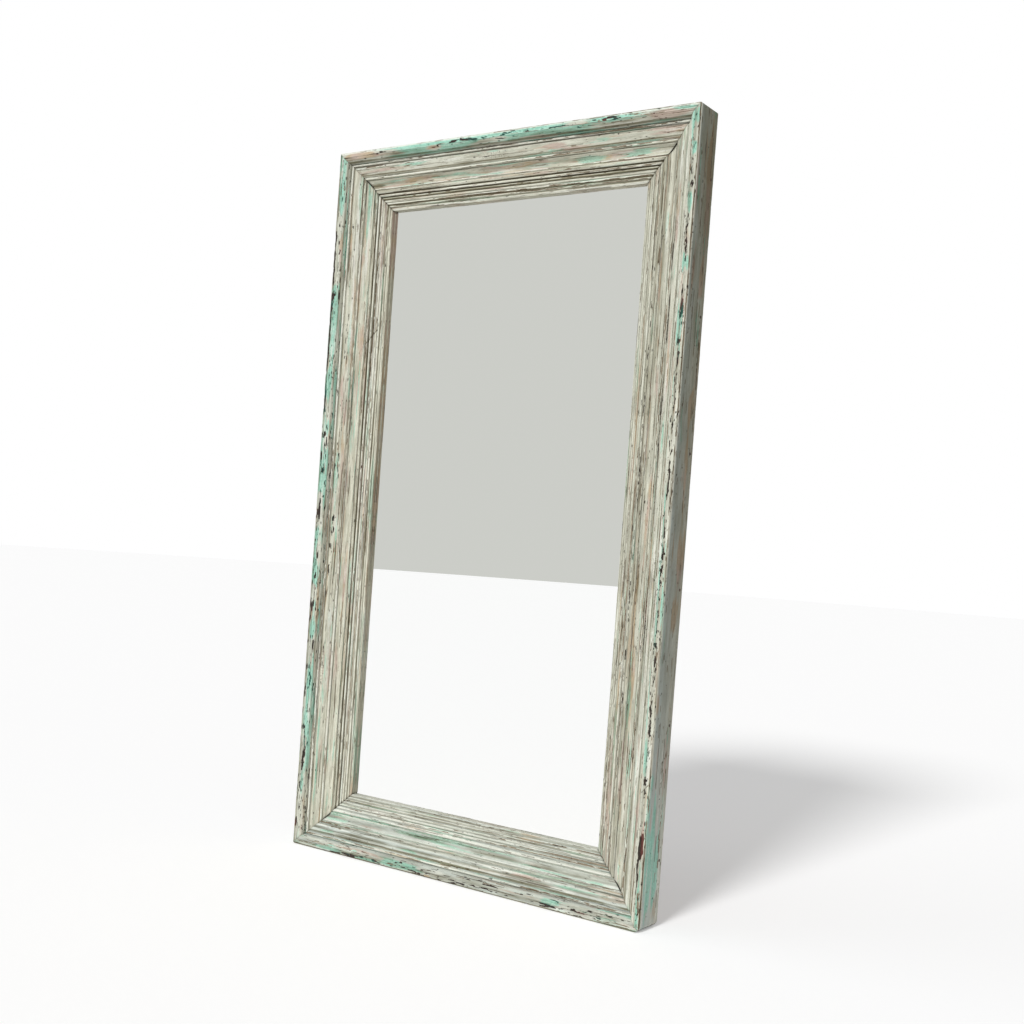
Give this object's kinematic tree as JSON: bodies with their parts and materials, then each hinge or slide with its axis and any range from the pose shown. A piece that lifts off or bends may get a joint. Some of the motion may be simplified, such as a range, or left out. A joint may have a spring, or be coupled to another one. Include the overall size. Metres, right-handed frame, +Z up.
{
  "type": "framed floor mirror",
  "caption": "Full-length floor mirror in a deep built-up frame: rounded outer band, frieze, hollow moulding and sloping reeded slip round one pane.",
  "frame": {"origin": "middle of the underside of the whole object, bumpers included", "axes": "+Z up along the height, the mirror faces -Y, +Y out of the back, +X to the right as seen from the front"},
  "size_m": [1.04, 0.093, 1.8],
  "materials": {
    "outer_board_paint": "worn mint green and cream paint over brown timber, chipped along the edges",
    "frieze_paint": "cream paint worn along the grain, patches of mint green",
    "cove_paint": "cream and grey-white paint rubbed through to taupe timber, patches of mint green",
    "reed_paint": "cream paint worn off the crests of the reeds",
    "raw_pine": "sawn unpainted pine",
    "dowel_beech": "beech dowel, end grain",
    "nail_iron": "dark rusted iron",
    "silvered_glass": "polished, silvered on the back",
    "black_rubber": "matt black",
    "packer_cork": "cork",
    "backing_card": "pale foam card",
    "back_board_fibre": "brown fibreboard, smooth",
    "zinc_steel": "zinc-plated steel"
  },
  "bodies": {
    "mirror_frame": {"outer_board_left": "outer_board_paint", "outer_board_right": "outer_board_paint", "outer_board_top": "outer_board_paint", "outer_board_bottom": "outer_board_paint", "frieze_left": "frieze_paint", "frieze_right": "frieze_paint", "frieze_top": "frieze_paint", "frieze_bottom": "frieze_paint", "cove_left": "cove_paint", "cove_right": "cove_paint", "cove_top": "cove_paint", "cove_bottom": "cove_paint", "reeded_slip_left": "reed_paint", "reeded_slip_right": "reed_paint", "reeded_slip_top": "reed_paint", "reeded_slip_bottom": "reed_paint", "subframe_stile_left": "raw_pine", "subframe_stile_right": "raw_pine", "subframe_rail_top": "raw_pine", "subframe_rail_bottom": "raw_pine", "corner_dowels": "dowel_beech", "face_nails": "nail_iron", "slip_brads": "nail_iron", "board_nails": "nail_iron", "mirror_glass": "silvered_glass", "setting_blocks": "black_rubber", "side_packers": "packer_cork", "backing_sheet": "backing_card", "back_board": "back_board_fibre", "back_board_screws": "zinc_steel", "hanger_strap_left": "zinc_steel", "hanger_strap_right": "zinc_steel", "hanger_screws": "zinc_steel", "wall_bumpers": "black_rubber", "bumper_screws": "zinc_steel"},
    "ring_left": {"hanger_ring_left": "zinc_steel"},
    "ring_right": {"hanger_ring_right": "zinc_steel"}
  },
  "joints": [
    {"name": "ring_left_swing", "type": "hinge", "parent": "mirror_frame", "child": "ring_left", "pos_m": [-0.451, 0.0419, 1.42], "axis": [1, 0, 0], "range_deg": [0, 180]},
    {"name": "ring_right_swing", "type": "hinge", "parent": "mirror_frame", "child": "ring_right", "pos_m": [0.451, 0.0419, 1.42], "axis": [1, 0, 0], "range_deg": [0, 180]}
  ]
}
